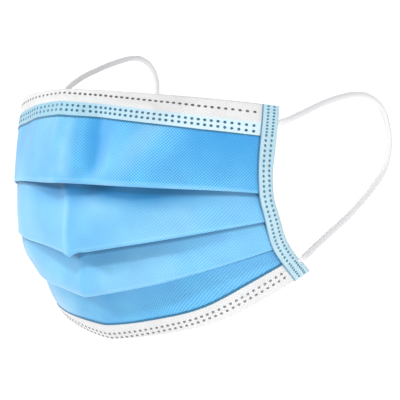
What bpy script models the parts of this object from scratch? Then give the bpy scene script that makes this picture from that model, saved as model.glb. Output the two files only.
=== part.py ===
"""Disposable three-ply face mask with two ear loops, in the form that it has when it is worn.

Frame: the wearer looks along -Y, +Z is up and the wearer's left is +X. The origin is where the
top hem sits on the nose bridge: on its rear face, on the centre plane, below the top edge.
"""

import math
from collections import namedtuple
from functools import lru_cache

import bpy
from mathutils import Vector

# Driving dimensions of the worn mask, in metres
CLOTH_HALF_WIDTH = 0.092  # centre line to side edge, along the cloth
HALF_SPREAD = 0.070  # centre plane to side edge, straight across
FACE_HEIGHT = 0.102  # top edge to bottom edge on the centre line
CHEEK_DEPTH = 0.050  # nose bridge back to the top of the side edge

# Cloth, folds and hems
CLOTH_WALL = 0.0010
SEAM_GAP = 0.0003  # between two pieces that lie on each other
FOLD_GAP = 0.0003  # between the layers of one pleat
PLEAT_DEPTH = 0.006  # overlap of one pleat at the side edge
PANEL_CURL = 9.0  # degrees that a panel turns in towards the face at its lower edge
TOP_HEM_HEIGHT = 0.0112
TOP_HEM_SIDE_HEIGHT = 0.0131
SEAT_DROP = 0.0040  # top edge down to the origin on the nose bridge
BOTTOM_HEM_HEIGHT = 0.0076
BOTTOM_HEM_SIDE_HEIGHT = 0.0080

# Nose wire, a flat strip in the channel of the top hem
WIRE_LENGTH = 0.096
WIRE_HEIGHT = 0.0036
WIRE_THICKNESS = 0.0008

# Side bindings and ear loops
TAPE_WIDTH = 0.0072
LOOP_DIAMETER = 0.0026

# Resolution of the lofts and cords
HALF_COLUMNS = 13
FOLD_STEPS = 3
HEM_FOLD_STEPS = 4
HEM_LEAF_ROWS = 3
TAPE_LEAF_COLUMNS = 2
TAPE_ROWS = 22
LOOP_POINTS = 56
ROUTE_STEPS = 20  # fine steps between two points of a route, to measure its length
NUDGE = 0.01  # share by which directions on a surface are measured
MERGE_DISTANCE = 0.00005
SHARP_ANGLE = math.radians(50)

FOLD_RADIUS = (CLOTH_WALL + FOLD_GAP) / 2
LAYER_STEP = CLOTH_WALL + SEAM_GAP  # from the middle of one wall to the middle of the next
SEAT_DEPTH = LAYER_STEP + CLOTH_WALL / 2  # middle of the cloth back to the hem's rear face
STACK_DEPTH = 2 * (CLOTH_WALL + FOLD_GAP)  # from a pleat's front wall to its rear wall

# A binding's rear leaf lies behind the shingled stack of pleats, and close to the cloth above it
TAPE_REAR_SLACK = 1.45  # the pleats reach this many stacks behind the side's smooth line
TAPE_STACK_START = 1.4  # pleat depths above the first pleat's edge where the stack starts
TAPE_STACK_END = 0.30  # share of the last panel below the end of the stack
TAPE_EASE = 0.07  # share of the side edge in which the rear leaf changes its level

# The lines across the mask, from the top edge to the bottom edge. Each runs from the centre
# plane to the side edge. drop, side_drop and sag are shares of FACE_HEIGHT, back and side_back
# of CHEEK_DEPTH, spread of HALF_SPREAD and overlap of PLEAT_DEPTH. The turns are the angles
# in plan, in degrees, at which the line leaves the centre plane and reaches the side edge.
Line = namedtuple(
    "Line", "name drop side_drop sag back side_back spread nose_turn cheek_turn overlap rows"
)
LINES = (
    Line("top_edge", 0.000, 0.070, 0.008, 0.000, 1.000, 0.995, 4, 66, 0.00, 0),
    Line("pleat_1", 0.352, 0.406, 0.010, -0.056, 0.940, 1.005, -2, 71, 0.30, 7),
    Line("pleat_2", 0.642, 0.502, 0.003, 0.052, 1.010, 1.000, -2, 71, 0.35, 5),
    Line("pleat_3", 0.818, 0.604, -0.018, 0.228, 1.176, 0.960, -3, 65, 0.35, 4),
    Line("bottom_edge", 1.002, 0.718, -0.056, 0.522, 1.450, 0.945, 2, 74, 0.00, 5),
)

# Ear loops: hand-chosen points of the route from the top of the side edge, round the ear, to
# the bottom of the side edge, for the wearer's left and right.
LEFT_LOOP_ROUTE = (
    (0.0701, 0.0482, -0.0098),
    (0.0703, 0.0547, -0.0080),
    (0.0700, 0.0642, -0.0051),
    (0.0696, 0.0757, -0.0016),
    (0.0693, 0.0872, 0.0010),
    (0.0690, 0.0972, 0.0022),
    (0.0680, 0.1072, 0.0015),
    (0.0668, 0.1167, -0.0025),
    (0.0658, 0.1222, -0.0090),
    (0.0644, 0.1258, -0.0185),
    (0.0634, 0.1237, -0.0290),
    (0.0629, 0.1150, -0.0380),
    (0.0629, 0.1015, -0.0475),
    (0.0634, 0.0881, -0.0546),
    (0.0648, 0.0765, -0.0600),
    (0.0668, 0.0655, -0.0648),
)
RIGHT_LOOP_ROUTE = (
    (-0.0701, 0.0482, -0.0098),
    (-0.0706, 0.0520, -0.0090),
    (-0.0698, 0.0567, -0.0035),
    (-0.0685, 0.0610, 0.0050),
    (-0.0673, 0.0692, 0.0109),
    (-0.0662, 0.0799, 0.0154),
    (-0.0653, 0.0888, 0.0184),
    (-0.0642, 0.0975, 0.0206),
    (-0.0633, 0.1042, 0.0205),
    (-0.0620, 0.1092, 0.0170),
    (-0.0608, 0.1116, 0.0100),
    (-0.0602, 0.1107, 0.0010),
    (-0.0598, 0.1082, -0.0110),
    (-0.0600, 0.1033, -0.0240),
    (-0.0609, 0.0956, -0.0370),
    (-0.0627, 0.0851, -0.0490),
    (-0.0646, 0.0755, -0.0580),
    (-0.0668, 0.0655, -0.0648),
)


def clear_scene():
    for thing in list(bpy.data.objects):
        bpy.data.objects.remove(thing, do_unlink=True)


def make_material(name, colour, roughness, metallic=0.0):
    material = bpy.data.materials.new(name)
    material.use_nodes = True
    shader = material.node_tree.nodes["Principled BSDF"]
    shader.inputs["Base Color"].default_value = (*colour, 1.0)
    shader.inputs["Roughness"].default_value = roughness
    shader.inputs["Metallic"].default_value = metallic
    return material


def hermite(start, start_tangent, end, end_tangent, share):
    """Point at a share from 0 to 1 of the cubic curve between two points with given tangents."""
    s = share
    return (
        start * (2 * s**3 - 3 * s**2 + 1)
        + start_tangent * (s**3 - 2 * s**2 + s)
        + end * (3 * s**2 - 2 * s**3)
        + end_tangent * (s**3 - s**2)
    )


def heading(degrees, length):
    angle = math.radians(degrees)
    return Vector((math.cos(angle), math.sin(angle), 0.0)) * length


def line_point(line, across):
    """Point of a line across the mask, at a share of the way from the centre to the side edge."""
    centre = Vector((0.0, line.back * CHEEK_DEPTH, 0.0))
    side = Vector((line.spread * HALF_SPREAD, line.side_back * CHEEK_DEPTH, 0.0))
    leave = heading(line.nose_turn, CLOTH_HALF_WIDTH)
    arrive = heading(line.cheek_turn, CLOTH_HALF_WIDTH)
    point = hermite(centre, leave, side, arrive, across)
    drop = line.drop + (line.side_drop - line.drop) * across
    height = -(drop - line.sag * 4 * across * (1 - across)) * FACE_HEIGHT
    return point + Vector((0.0, -SEAT_DEPTH, height + SEAT_DROP))


def along_direction(line, across):
    """Unit vector along a line, towards the side edge. On the centre plane it is +X."""
    if across < NUDGE:
        return Vector((1.0, 0.0, 0.0))
    return (line_point(line, across) - line_point(line, across - NUDGE)).normalized()


def outward_of(down, along):
    return down.cross(along).normalized()


def fold_direction(number, across):
    """Unit vector down the cloth where panel number ends. The curl dies out at the side edge."""
    line = LINES[number]
    chord = line_point(line, across) - line_point(LINES[number - 1], across)
    outward = outward_of(chord, along_direction(line, across))
    curl = math.radians(PANEL_CURL) * (1 - across)
    return (chord.normalized() * math.cos(curl) - outward * math.sin(curl)).normalized()


def overlap_length(number, across):
    """How far a pleat's return reaches up behind its panel: least in the middle."""
    share = LINES[number].overlap
    return PLEAT_DEPTH * (share + (1 - share) * across**1.5)


@lru_cache(maxsize=None)
def panel_ends(number, across):
    """Start and end of a panel's visible stretch, with the cloth's direction at both."""
    end = line_point(LINES[number], across)
    end_down = fold_direction(number, across)
    if number > 1:
        start_down = fold_direction(number - 1, across)
        start = behind(number - 1, across, -2 * FOLD_RADIUS, STACK_DEPTH)
        return start, start_down, end, end_down
    start = line_point(LINES[0], across)
    chord = (end - start).normalized()
    outward = outward_of(chord, along_direction(LINES[0], across))
    curl = math.radians(PANEL_CURL) * (1 - across)
    return start, chord * math.cos(curl) + outward * math.sin(curl), end, end_down


def panel_length(number, across):
    start, _, end, _ = panel_ends(number, across)
    return (end - start).length


@lru_cache(maxsize=None)
def panel_point(number, across, share):
    """Point on the middle of a panel's wall, where it shows. Past its ends it runs straight on."""
    start, start_down, end, end_down = panel_ends(number, across)
    length = (end - start).length
    if share > 1:
        return end + end_down * (length * (share - 1))
    return hermite(start, start_down * length, end, end_down * length, share)


@lru_cache(maxsize=None)
def panel_outward(number, across, share):
    """Outward normal of a panel's surface."""
    low = min(max(share, NUDGE), 1.0)
    down = panel_point(number, across, low) - panel_point(number, across, low - NUDGE)
    if across < NUDGE:
        along = Vector((1.0, 0.0, 0.0))
    else:
        along = panel_point(number, across, low) - panel_point(number, across - NUDGE, low)
    return outward_of(down, along)


def behind(number, across, up, depth):
    """Point a depth behind a panel, some way up the cloth from the panel's lower edge."""
    share = 1 - up / panel_length(number, across)
    return panel_point(number, across, share) - panel_outward(number, across, share) * depth


def fold_points(number, across):
    """A pleat behind the lower edge of its panel: turn, return, turn, and the next panel's start."""
    overlap = overlap_length(number, across)
    down = fold_direction(number, across)
    points = []
    for step in range(1, FOLD_STEPS + 1):
        angle = math.pi * step / FOLD_STEPS
        point = behind(number, across, 0.0, FOLD_RADIUS * (1 - math.cos(angle)))
        points.append(point + down * (FOLD_RADIUS * math.sin(angle)))
    points.append(behind(number, across, overlap / 2, 2 * FOLD_RADIUS))
    for step in range(FOLD_STEPS + 1):
        angle = math.pi * step / FOLD_STEPS
        up = overlap + FOLD_RADIUS * math.sin(angle)
        points.append(behind(number, across, up, FOLD_RADIUS * (3 - math.cos(angle))))
    points.append(behind(number, across, overlap / 2, STACK_DEPTH))
    return points


def loft(name, sections, wall, material, collection, mirrored):
    """Sheet through the sections, thickened to a wall. Sections go from the centre outwards."""
    count = len(sections[0])
    verts = [tuple(point) for section in sections for point in section]
    faces = []
    for column in range(len(sections) - 1):
        for row in range(count - 1):
            corner = column * count + row
            faces.append((corner, corner + 1, corner + count + 1, corner + count))
    mesh = bpy.data.meshes.new(name)
    mesh.from_pydata(verts, [], faces)
    mesh.materials.append(material)
    thing = bpy.data.objects.new(name, mesh)
    collection.objects.link(thing)
    if mirrored:
        mirror = thing.modifiers.new("other half", "MIRROR")
        mirror.use_axis[0] = True
        mirror.merge_threshold = MERGE_DISTANCE
    solidify = thing.modifiers.new("wall", "SOLIDIFY")
    solidify.thickness = wall
    solidify.offset = 0.0
    solidify.use_even_offset = True
    mesh.shade_smooth()
    mesh.set_sharp_from_angle(angle=SHARP_ANGLE)


def shares(count):
    return [step / count for step in range(count + 1)]


def on_centre_plane(points, across):
    """On the centre plane every point has x = 0, where the mirrored halves meet."""
    if across > 0:
        return points
    return [Vector((0.0, point.y, point.z)) for point in points]


def build_panel(material, collection):
    """The laminated cloth, with its three knife pleats."""
    # The cloth ends inside the folded edges of the bindings and hems
    last = 1 - (STACK_DEPTH + CLOTH_WALL) / CLOTH_HALF_WIDTH
    top_inset = WIRE_HEIGHT + LAYER_STEP + 2 * SEAM_GAP + CLOTH_WALL / 2
    bottom_inset = LAYER_STEP + SEAM_GAP
    sections = []
    for share in shares(HALF_COLUMNS):
        across = share * last
        points = []
        for number in range(1, len(LINES)):
            length = panel_length(number, across)
            first = top_inset / length if number == 1 else 0.0
            end = 1 - bottom_inset / length if number == len(LINES) - 1 else 1.0
            for step in shares(LINES[number].rows):
                points.append(panel_point(number, across, first + (end - first) * step))
            if number < len(LINES) - 1:
                points += fold_points(number, across)
        sections.append(on_centre_plane(points, across))
    loft("pleated_panel", sections, CLOTH_WALL, material, collection, mirrored=True)


def hem_section(number, across, edge_share, inner_share):
    """A hem's wall round the cloth: front leaf, fold over the edge, rear leaf."""
    length = panel_length(number, across)
    away = -1 if edge_share < inner_share else 1
    fold_centre = edge_share - away * (LAYER_STEP + CLOTH_WALL / 2) / length
    leaf = [
        inner_share + (fold_centre - inner_share) * step for step in shares(HEM_LEAF_ROWS)
    ]
    front = [
        panel_point(number, across, share) + panel_outward(number, across, share) * LAYER_STEP
        for share in leaf
    ]
    rear = [
        panel_point(number, across, share) - panel_outward(number, across, share) * LAYER_STEP
        for share in reversed(leaf)
    ]
    centre = panel_point(number, across, fold_centre)
    outward = panel_outward(number, across, fold_centre)
    beyond = panel_point(number, across, fold_centre + away * NUDGE)
    towards_edge = (beyond - centre).normalized()
    turn = []
    for step in range(1, HEM_FOLD_STEPS):
        angle = math.pi * step / HEM_FOLD_STEPS
        offset = outward * math.cos(angle) + towards_edge * math.sin(angle)
        turn.append(centre + offset * LAYER_STEP)
    return front + turn + rear


def build_hem(name, number, heights, material, collection):
    """Ply folded over the top or bottom edge of the cloth, between the two bindings."""
    last = 1 - (TAPE_WIDTH + CLOTH_WALL / 2 + SEAM_GAP) / CLOTH_HALF_WIDTH
    sections = []
    for share in shares(HALF_COLUMNS):
        across = share * last
        height = heights[0] + (heights[1] - heights[0]) * across
        inner = height / panel_length(number, across)
        if number == 1:
            points = hem_section(number, across, 0.0, inner)
        else:
            points = hem_section(number, across, 1.0, 1 - inner)
        sections.append(on_centre_plane(points, across))
    loft(name, sections, CLOTH_WALL, material, collection, mirrored=True)


def build_wire(material, collection):
    """Flat strip between the fold of the top hem and the upper edge of the cloth."""
    half_turn = (WIRE_LENGTH / 2) / CLOTH_HALF_WIDTH
    sections = []
    for share in shares(HALF_COLUMNS):
        across = share * half_turn
        length = panel_length(1, across)
        top = (LAYER_STEP + SEAM_GAP) / length
        foot = top + WIRE_HEIGHT / length
        points = [panel_point(1, across, spot) for spot in (top, (top + foot) / 2, foot)]
        sections.append(on_centre_plane(points, across))
    loft("nose_wire", sections, WIRE_THICKNESS, material, collection, mirrored=True)


def edge_curve(across, share):
    """Smooth curve through all the lines at one share across, from the top to the bottom."""
    points = [line_point(line, across) for line in LINES]
    chords = [(after - before).length for before, after in zip(points, points[1:])]
    reach = share * sum(chords)
    number = 0
    while number < len(chords) - 1 and reach > chords[number]:
        reach -= chords[number]
        number += 1
    tangents = []
    for spot in (number, number + 1):
        before, after = max(spot - 1, 0), min(spot + 1, len(points) - 1)
        tangents.append((points[after] - points[before]) / sum(chords[before:after]))
    length = chords[number]
    start, end = points[number], points[number + 1]
    return hermite(start, tangents[0] * length, end, tangents[1] * length, reach / length)


def edge_frame(across, share):
    """Point, outward normal and sideways direction of that curve."""
    point = edge_curve(across, share)
    above = edge_curve(across, max(share - NUDGE, 0.0))
    down = edge_curve(across, min(share + NUDGE, 1.0)) - above
    along = (point - edge_curve(across - NUDGE, share)).normalized()
    return point, outward_of(down, along), along


def tape_rear_offset(share):
    """How far the binding's rear leaf lies behind: one wall at the top, the pleats' stack below."""
    points = [line_point(line, 1.0) for line in LINES]
    chords = [(after - before).length for before, after in zip(points, points[1:])]
    pleats_start = (chords[0] - TAPE_STACK_START * PLEAT_DEPTH) / sum(chords)
    pleats_end = 1 - TAPE_STACK_END * chords[-1] / sum(chords)
    rise = min(max((share - pleats_start) / TAPE_EASE + 1, 0.0), 1.0)
    fall = min(max((pleats_end - share) / TAPE_EASE + 1, 0.0), 1.0)
    level = min(rise, fall)
    return LAYER_STEP + TAPE_REAR_SLACK * STACK_DEPTH * level * level * (3 - 2 * level)


def build_binding(name, side, material, collection):
    """Tape folded over one side edge, from the top edge to the bottom edge."""
    front_offset = LAYER_STEP + SEAM_GAP
    sections = []
    for row in shares(TAPE_ROWS):
        rear_offset = tape_rear_offset(row)
        radius = (front_offset + rear_offset) / 2
        fold_centre = 1 - (radius + CLOTH_WALL / 2) / CLOTH_HALF_WIDTH
        inner = 1 - TAPE_WIDTH / CLOTH_HALF_WIDTH
        leaf = [inner + (fold_centre - inner) * step for step in shares(TAPE_LEAF_COLUMNS)]
        front, rear, turn = [], [], []
        for across in leaf:
            point, outward, _ = edge_frame(across, row)
            front.append(point + outward * front_offset)
            rear.insert(0, point - outward * rear_offset)
        point, outward, along = edge_frame(fold_centre, row)
        for step in range(1, HEM_FOLD_STEPS):
            angle = math.pi * step / HEM_FOLD_STEPS
            depth = (front_offset - rear_offset) / 2 + radius * math.cos(angle)
            turn.append(point + outward * depth + along * (radius * math.sin(angle)))
        points = front + turn + rear
        sections.append([Vector((side * point.x, point.y, point.z)) for point in points])
    if side > 0:
        sections.reverse()
    loft(name, sections, CLOTH_WALL, material, collection, mirrored=False)


def smooth_route(route, count):
    """Points at even steps on a smooth curve through the points of a route."""
    spots = [Vector(point) for point in route]
    fine = []
    for number in range(len(spots) - 1):
        start, end = spots[number], spots[number + 1]
        before = spots[number - 1] if number else start * 2 - end
        after = spots[number + 2] if number + 2 < len(spots) else end * 2 - start
        for step in range(ROUTE_STEPS):
            share = step / ROUTE_STEPS
            fine.append(hermite(start, (end - before) / 2, end, (after - start) / 2, share))
    fine.append(spots[-1])
    reach = [0.0]
    for before, after in zip(fine, fine[1:]):
        reach.append(reach[-1] + (after - before).length)
    points = []
    number = 0
    for step in range(count):
        goal = reach[-1] * step / (count - 1)
        while number < len(fine) - 2 and reach[number + 1] < goal:
            number += 1
        share = (goal - reach[number]) / (reach[number + 1] - reach[number])
        points.append(fine[number].lerp(fine[number + 1], share))
    return points


def build_loop(name, route, material, collection):
    """Elastic ear loop, a soft cord along its route."""
    curve = bpy.data.curves.new(name, "CURVE")
    curve.dimensions = "3D"
    curve.bevel_depth = LOOP_DIAMETER / 2
    curve.bevel_resolution = 2
    curve.use_fill_caps = True
    points = smooth_route(route, LOOP_POINTS)
    spline = curve.splines.new("POLY")
    spline.points.add(len(points) - 1)
    for spot, point in zip(spline.points, points):
        spot.co = (*point, 1.0)
    curve.materials.append(material)
    collection.objects.link(bpy.data.objects.new(name, curve))


def build_mask():
    clear_scene()
    collection = bpy.data.collections.new("disposable_face_mask")
    bpy.context.scene.collection.children.link(collection)
    blue_cloth = make_material("blue_spunbond", (0.09, 0.46, 0.87), 0.75)
    white_ply = make_material("white_spunbond", (0.83, 0.81, 0.82), 0.80)
    pale_tape = make_material("pale_blue_tape", (0.52, 0.80, 0.93), 0.75)
    coated_wire = make_material("coated_wire", (0.80, 0.80, 0.80), 0.45)
    elastic = make_material("white_elastic", (0.88, 0.88, 0.90), 0.85)

    build_panel(blue_cloth, collection)
    top_heights = (TOP_HEM_HEIGHT, TOP_HEM_SIDE_HEIGHT)
    bottom_heights = (BOTTOM_HEM_HEIGHT, BOTTOM_HEM_SIDE_HEIGHT)
    build_hem("top_hem", 1, top_heights, white_ply, collection)
    build_hem("bottom_hem", len(LINES) - 1, bottom_heights, white_ply, collection)
    build_wire(coated_wire, collection)
    build_binding("side_binding_left", 1, pale_tape, collection)
    build_binding("side_binding_right", -1, pale_tape, collection)
    build_loop("ear_loop_left", LEFT_LOOP_ROUTE, elastic, collection)
    build_loop("ear_loop_right", RIGHT_LOOP_ROUTE, elastic, collection)


build_mask()
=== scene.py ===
"""Disposable three-ply face mask with two elastic ear loops, shown in its worn form."""

import math
from collections import namedtuple
from functools import lru_cache

import bpy
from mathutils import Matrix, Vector, noise


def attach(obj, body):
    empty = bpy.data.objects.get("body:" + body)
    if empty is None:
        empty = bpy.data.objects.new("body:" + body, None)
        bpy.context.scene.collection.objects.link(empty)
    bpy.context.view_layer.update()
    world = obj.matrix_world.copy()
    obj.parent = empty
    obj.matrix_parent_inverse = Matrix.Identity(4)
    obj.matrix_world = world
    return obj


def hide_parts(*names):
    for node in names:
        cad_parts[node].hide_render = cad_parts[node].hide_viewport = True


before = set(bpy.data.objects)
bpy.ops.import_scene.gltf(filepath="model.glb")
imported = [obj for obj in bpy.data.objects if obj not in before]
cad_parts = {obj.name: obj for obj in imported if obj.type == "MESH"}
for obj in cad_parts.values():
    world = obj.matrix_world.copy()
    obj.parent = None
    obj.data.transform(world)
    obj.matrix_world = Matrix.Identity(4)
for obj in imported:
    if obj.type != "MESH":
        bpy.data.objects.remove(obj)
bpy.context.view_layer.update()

# The cloth is a laminate of spunbond, a fine filter layer and spunbond again, about half a
# millimetre thick. A machine lays three knife pleats across it, all opening downward, and
# presses it flat, and the wearer draws them open over nose and chin.
CLOTH_HALF_WIDTH = 0.092
HALF_SPREAD = 0.070
FACE_HEIGHT = 0.102
CHEEK_DEPTH = 0.050
SEAT_DEPTH = 0.0018
SEAT_DROP = 0.0040
PLEAT_DEPTH = 0.006
PANEL_CURL = 9.0
OPEN_FOLD = 0.00150
FOLD_CLOSING = 0.00116
SOFT_WAVE = 0.0005
EDGE_SHIFT = 0.0014
HEM_SAG = 0.0014
# Share of the painted shadow in the mouths of the lower pleats.
LOWER_MOUTH_SHADE = 0.42
# Painted lightening of the panels below the first pleat.
LOWER_PAINTED_LIGHT = (0.0012, 0.0014, 0.0008)
NUDGE = 0.01

Line = namedtuple(
    "Line", "drop side_drop sag back side_back spread nose_turn cheek_turn overlap rows"
)
LINES = (
    Line(0.000, 0.070, 0.008, 0.000, 1.000, 0.995, 4, 66, 0.00, 0),
    Line(0.352, 0.406, 0.010, -0.056, 0.940, 1.005, -2, 71, 0.30, 34),
    Line(0.642, 0.502, 0.003, 0.052, 1.010, 1.000, -2, 71, 0.35, 26),
    Line(0.818, 0.604, -0.018, 0.228, 1.176, 0.960, -3, 65, 0.35, 20),
    Line(1.002, 0.718, -0.056, 0.522, 1.450, 0.945, 2, 74, 0.00, 22),
)

# The pack folds the mask in half, which leaves a crease down the middle: soft on the nose
# panel, and sharper where the pleats open. Heights in metres, from the top down.
Crease = namedtuple("Crease", "z height radius spread")
CREASES = (
    Crease(0.004, 0.0003, 0.0050, 0.010),
    Crease(-0.012, 0.0023, 0.0045, 0.009),
    Crease(-0.028, 0.0026, 0.0030, 0.009),
    Crease(-0.035, 0.0036, 0.0010, 0.006),
    Crease(-0.048, 0.0030, 0.0008, 0.006),
    Crease(-0.060, 0.0024, 0.0008, 0.007),
    Crease(-0.078, 0.0022, 0.0008, 0.007),
    Crease(-0.084, 0.0010, 0.0025, 0.009),
    Crease(-0.100, 0.0003, 0.0050, 0.010),
)


def hermite(start, start_tangent, end, end_tangent, share):
    s = share
    return (
        start * (2 * s**3 - 3 * s**2 + 1)
        + start_tangent * (s**3 - 2 * s**2 + s)
        + end * (3 * s**2 - 2 * s**3)
        + end_tangent * (s**3 - s**2)
    )


def heading(degrees, length):
    angle = math.radians(degrees)
    return Vector((math.cos(angle), math.sin(angle), 0.0)) * length


def eased(value, low, high):
    share = min(max((value - low) / (high - low), 0.0), 1.0)
    return share * share * (3 - 2 * share)


def between(marks, value, column):
    """Value of a column of a table at a place between two of its rows."""
    for before, after in zip(marks, marks[1:]):
        if (value - before[0]) * (value - after[0]) <= 0:
            share = (value - before[0]) / (after[0] - before[0])
            return before[column] + (after[column] - before[column]) * share
    nearest = min((marks[0], marks[-1]), key=lambda mark: abs(mark[0] - value))
    return nearest[column]


def hill(value, middle, width):
    """Height of a soft hill, which is 1 at its middle."""
    return math.exp(-(((value - middle) / width) ** 2))


def reach_along(points, start=0.0):
    """How far along a run of points each one lies."""
    reach = [start]
    for before, after in zip(points, points[1:]):
        reach.append(reach[-1] + (after - before).length)
    return reach


@lru_cache(maxsize=None)
def line_point(number, across):
    """Point of a line across the mask, at a share of the way from the centre to one side."""
    line = LINES[number]
    reach = abs(across)
    centre = Vector((0.0, line.back * CHEEK_DEPTH, 0.0))
    side = Vector((line.spread * HALF_SPREAD, line.side_back * CHEEK_DEPTH, 0.0))
    leave = heading(line.nose_turn, CLOTH_HALF_WIDTH)
    arrive = heading(line.cheek_turn, CLOTH_HALF_WIDTH)
    point = hermite(centre, leave, side, arrive, reach)
    drop = line.drop + (line.side_drop - line.drop) * reach
    height = -(drop - line.sag * 4 * reach * (1 - reach)) * FACE_HEIGHT
    point += Vector((0.0, -SEAT_DEPTH, height + SEAT_DROP))
    point.x = math.copysign(point.x, across)
    return point


@lru_cache(maxsize=None)
def along_direction(number, across):
    """Direction of the cloth from the wearer's right to the wearer's left."""
    if abs(across) < NUDGE / 2:
        return Vector((1.0, 0.0, 0.0))
    step = math.copysign(NUDGE, across)
    ahead = line_point(number, across) - line_point(number, across - step)
    return (ahead * math.copysign(1.0, across)).normalized()


def outward_of(down, along):
    return down.cross(along).normalized()


@lru_cache(maxsize=None)
def fold_direction(number, across):
    """Direction down the cloth at the lower edge of a panel."""
    chord = line_point(number, across) - line_point(number - 1, across)
    outward = outward_of(chord, along_direction(number, across))
    curl = math.radians(PANEL_CURL) * (1 - abs(across))
    return (chord.normalized() * math.cos(curl) - outward * math.sin(curl)).normalized()


def fold_radius(across):
    """A pleat stands open by the nose and the near cheek, and is pressed flat at the side."""
    if across < 0:
        return OPEN_FOLD - FOLD_CLOSING * eased(-across, 0.04, 0.36)
    return OPEN_FOLD - FOLD_CLOSING * eased(across, 0.35, 0.95)


def overlap_length(number, across):
    share = LINES[number].overlap
    return PLEAT_DEPTH * (share + (1 - share) * abs(across) ** 1.5)


@lru_cache(maxsize=None)
def panel_ends(number, across):
    end = line_point(number, across)
    end_down = fold_direction(number, across)
    if number > 1:
        radius = fold_radius(across)
        start = behind(number - 1, across, -2 * radius, 4 * radius)
        return start, fold_direction(number - 1, across), end, end_down
    start = line_point(0, across)
    chord = (end - start).normalized()
    outward = outward_of(chord, along_direction(0, across))
    curl = math.radians(PANEL_CURL) * (1 - abs(across))
    return start, chord * math.cos(curl) + outward * math.sin(curl), end, end_down


@lru_cache(maxsize=None)
def panel_length(number, across):
    start, _, end, _ = panel_ends(number, across)
    return (end - start).length


@lru_cache(maxsize=None)
def panel_point(number, across, share):
    start, start_down, end, end_down = panel_ends(number, across)
    length = (end - start).length
    if share > 1:
        return end + end_down * (length * (share - 1))
    return hermite(start, start_down * length, end, end_down * length, share)


@lru_cache(maxsize=None)
def panel_outward(number, across, share):
    low = min(max(share, NUDGE), 1.0)
    down = panel_point(number, across, low) - panel_point(number, across, low - NUDGE)
    near = across - math.copysign(NUDGE, across)
    if abs(across) < NUDGE / 2:
        return outward_of(down, Vector((1.0, 0.0, 0.0)))
    along = panel_point(number, across, low) - panel_point(number, near, low)
    return outward_of(down, along * math.copysign(1.0, across))


def behind(number, across, up, depth):
    """Point a depth behind a panel, some way up the cloth from the panel's lower edge."""
    share = 1 - up / panel_length(number, across)
    return panel_point(number, across, share) - panel_outward(number, across, share) * depth


# Soft swells and hollows of the worn cloth. Each row is a line on the cloth from one end to
# the other, as distances along it and heights, with the swell's height and width.
Swell = namedtuple("Swell", "u_from z_from u_to z_to height width")
SWELLS = (
    Swell(0.020, -0.036, 0.050, -0.004, 0.0022, 0.0085),
    Swell(0.0160, -0.006, 0.0175, -0.026, -0.0026, 0.0078),
    Swell(0.0050, -0.028, 0.0095, -0.006, 0.0013, 0.0036),
    Swell(0.060, -0.008, 0.076, -0.012, -0.0012, 0.0090),
    Swell(0.052, -0.036, 0.076, -0.033, 0.0014, 0.0070),
    Swell(0.030, -0.058, 0.052, -0.048, 0.0009, 0.0070),
    Swell(0.016, -0.074, 0.040, -0.066, 0.0009, 0.0060),
    Swell(-0.030, -0.006, -0.036, -0.010, -0.0015, 0.0100),
    Swell(-0.034, -0.038, -0.036, -0.046, 0.0020, 0.0090),
    Swell(-0.030, -0.063, -0.040, -0.062, 0.0042, 0.0105),
    Swell(-0.026, -0.081, -0.036, -0.080, 0.0028, 0.0090),
)


def swell(u, z):
    """How far the cloth stands out at a place on it."""
    push = 0.0
    for mark in SWELLS:
        run_u, run_z = mark.u_to - mark.u_from, mark.z_to - mark.z_from
        share = ((u - mark.u_from) * run_u + (z - mark.z_from) * run_z) / (run_u**2 + run_z**2)
        share = min(max(share, 0.0), 1.0)
        away_u = u - mark.u_from - run_u * share
        away_z = z - mark.z_from - run_z * share
        push += mark.height * math.exp(-(away_u**2 + away_z**2) / mark.width**2)
    return push


def settled(point):
    """The side edges are drawn a little forward by the first pleat, and the chin hem sags."""
    ahead = EDGE_SHIFT * hill(point.z, -0.027, 0.014) * eased(point.y, 0.020, 0.046)
    sag = HEM_SAG * hill(abs(point.x), 0.044, 0.014) * eased(-point.z, 0.068, 0.084)
    return point - Vector((0.0, ahead, sag))


def handled(point, across):
    """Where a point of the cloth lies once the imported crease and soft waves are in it."""
    u = across * CLOTH_HALF_WIDTH
    height = between(CREASES, point.z, 1)
    radius = between(CREASES, point.z, 2)
    spread = between(CREASES, point.z, 3)
    push = height * math.exp(-(math.hypot(u, radius) - radius) / spread)
    wave = noise.noise(Vector((u * 55, point.z * 38, 3.7)))
    soft = eased(-point.z, -0.004, 0.008) * (1 - abs(across) ** 4)
    push += (SOFT_WAVE * wave + swell(u, point.z)) * soft
    along = along_direction(1, across)
    lift = -0.0008 * hill(u, -0.0003, 0.0022) + 0.0004 * hill(u, 0.0045, 0.0028)
    lift *= hill(point.z, -0.062, 0.005)
    point = point + Vector((along.y, -along.x, 0.0)) * push + Vector((0.0, 0.0, lift))
    return settled(point)


def pleat_points(number, across, turn_steps):
    """The hidden part of a pleat behind a panel's lower edge, down to the next panel."""
    overlap = overlap_length(number, across)
    radius = fold_radius(across)
    down = fold_direction(number, across)
    points = []
    for step in range(1, turn_steps + 1):
        angle = math.pi * step / turn_steps
        point = behind(number, across, 0.0, radius * (1 - math.cos(angle)))
        points.append(point + down * (radius * math.sin(angle)))
    points += [behind(number, across, overlap * share, 2 * radius) for share in (0.3, 0.6)]
    for step in range(turn_steps + 1):
        angle = math.pi * step / turn_steps
        up = overlap + radius * math.sin(angle)
        points.append(behind(number, across, up, radius * (3 - math.cos(angle))))
    points += [behind(number, across, overlap * share, 4 * radius) for share in (0.6, 0.3, 0.0)]
    return points


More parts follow.
